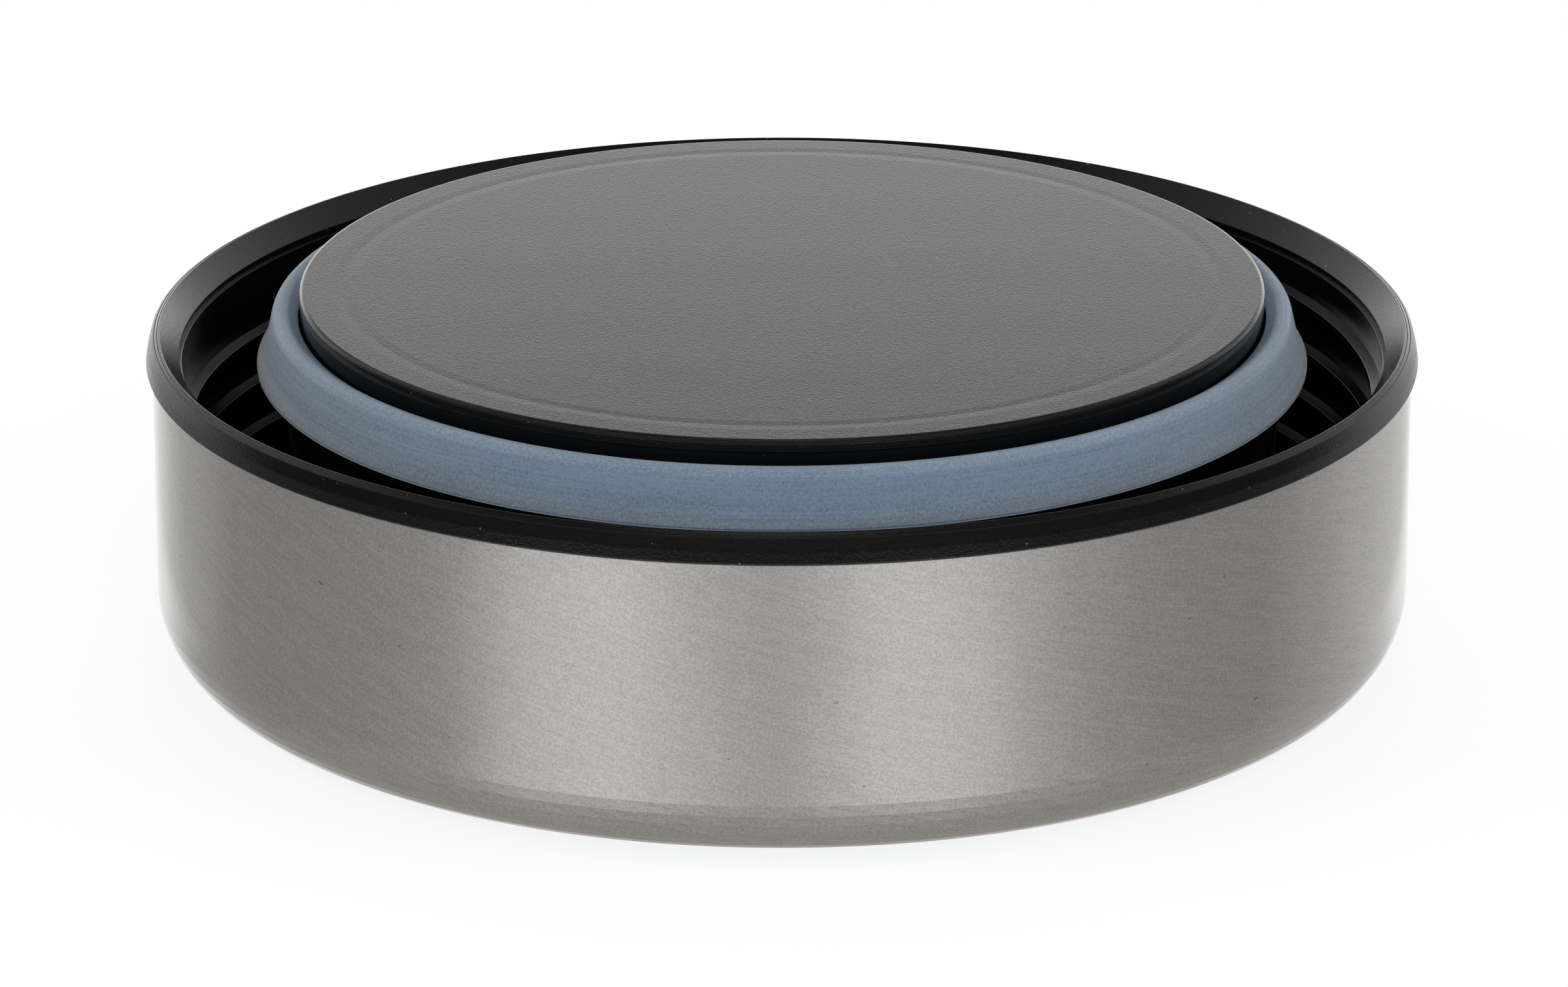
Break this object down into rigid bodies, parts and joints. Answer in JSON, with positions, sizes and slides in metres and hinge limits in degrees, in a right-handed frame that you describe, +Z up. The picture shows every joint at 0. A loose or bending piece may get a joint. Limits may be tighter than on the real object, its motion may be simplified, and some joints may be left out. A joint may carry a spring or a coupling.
{
  "type": "insulated food jar lid",
  "caption": "Round insulated screw lid, standing upside down on its brushed steel crown, with an inner screw thread and a raised central plug with a silicone seal.",
  "frame": {"origin": "centre of the flat face of the steel crown, which the lid stands on", "axes": "+Z up along the lid's axis, from the steel crown to the plug's disc; +X to the right and -Y towards the viewer in the picture"},
  "size_m": [0.096, 0.096, 0.0289],
  "materials": {
    "shell_steel": "satin",
    "ring_black": "matte",
    "liner_black": "gloss",
    "plug_black": "gloss",
    "disc_black": "gloss",
    "seal_silicone": "satin",
    "foam": "matte",
    "adhesive": "satin"
  },
  "bodies": {
    "lid": {"steel_shell": "shell_steel", "rim_ring": "ring_black", "thread_liner": "liner_black", "plug_housing": "plug_black", "plug_disc": "disc_black", "plug_foam": "foam", "crown_pad": "foam", "shell_glue": "adhesive"},
    "seal": {"gasket": "seal_silicone"}
  },
  "joints": [
    {"name": "seal_lift", "type": "slide", "parent": "lid", "child": "seal", "axis": [0, 0, 1], "range_m": [0, 0.02]}
  ]
}
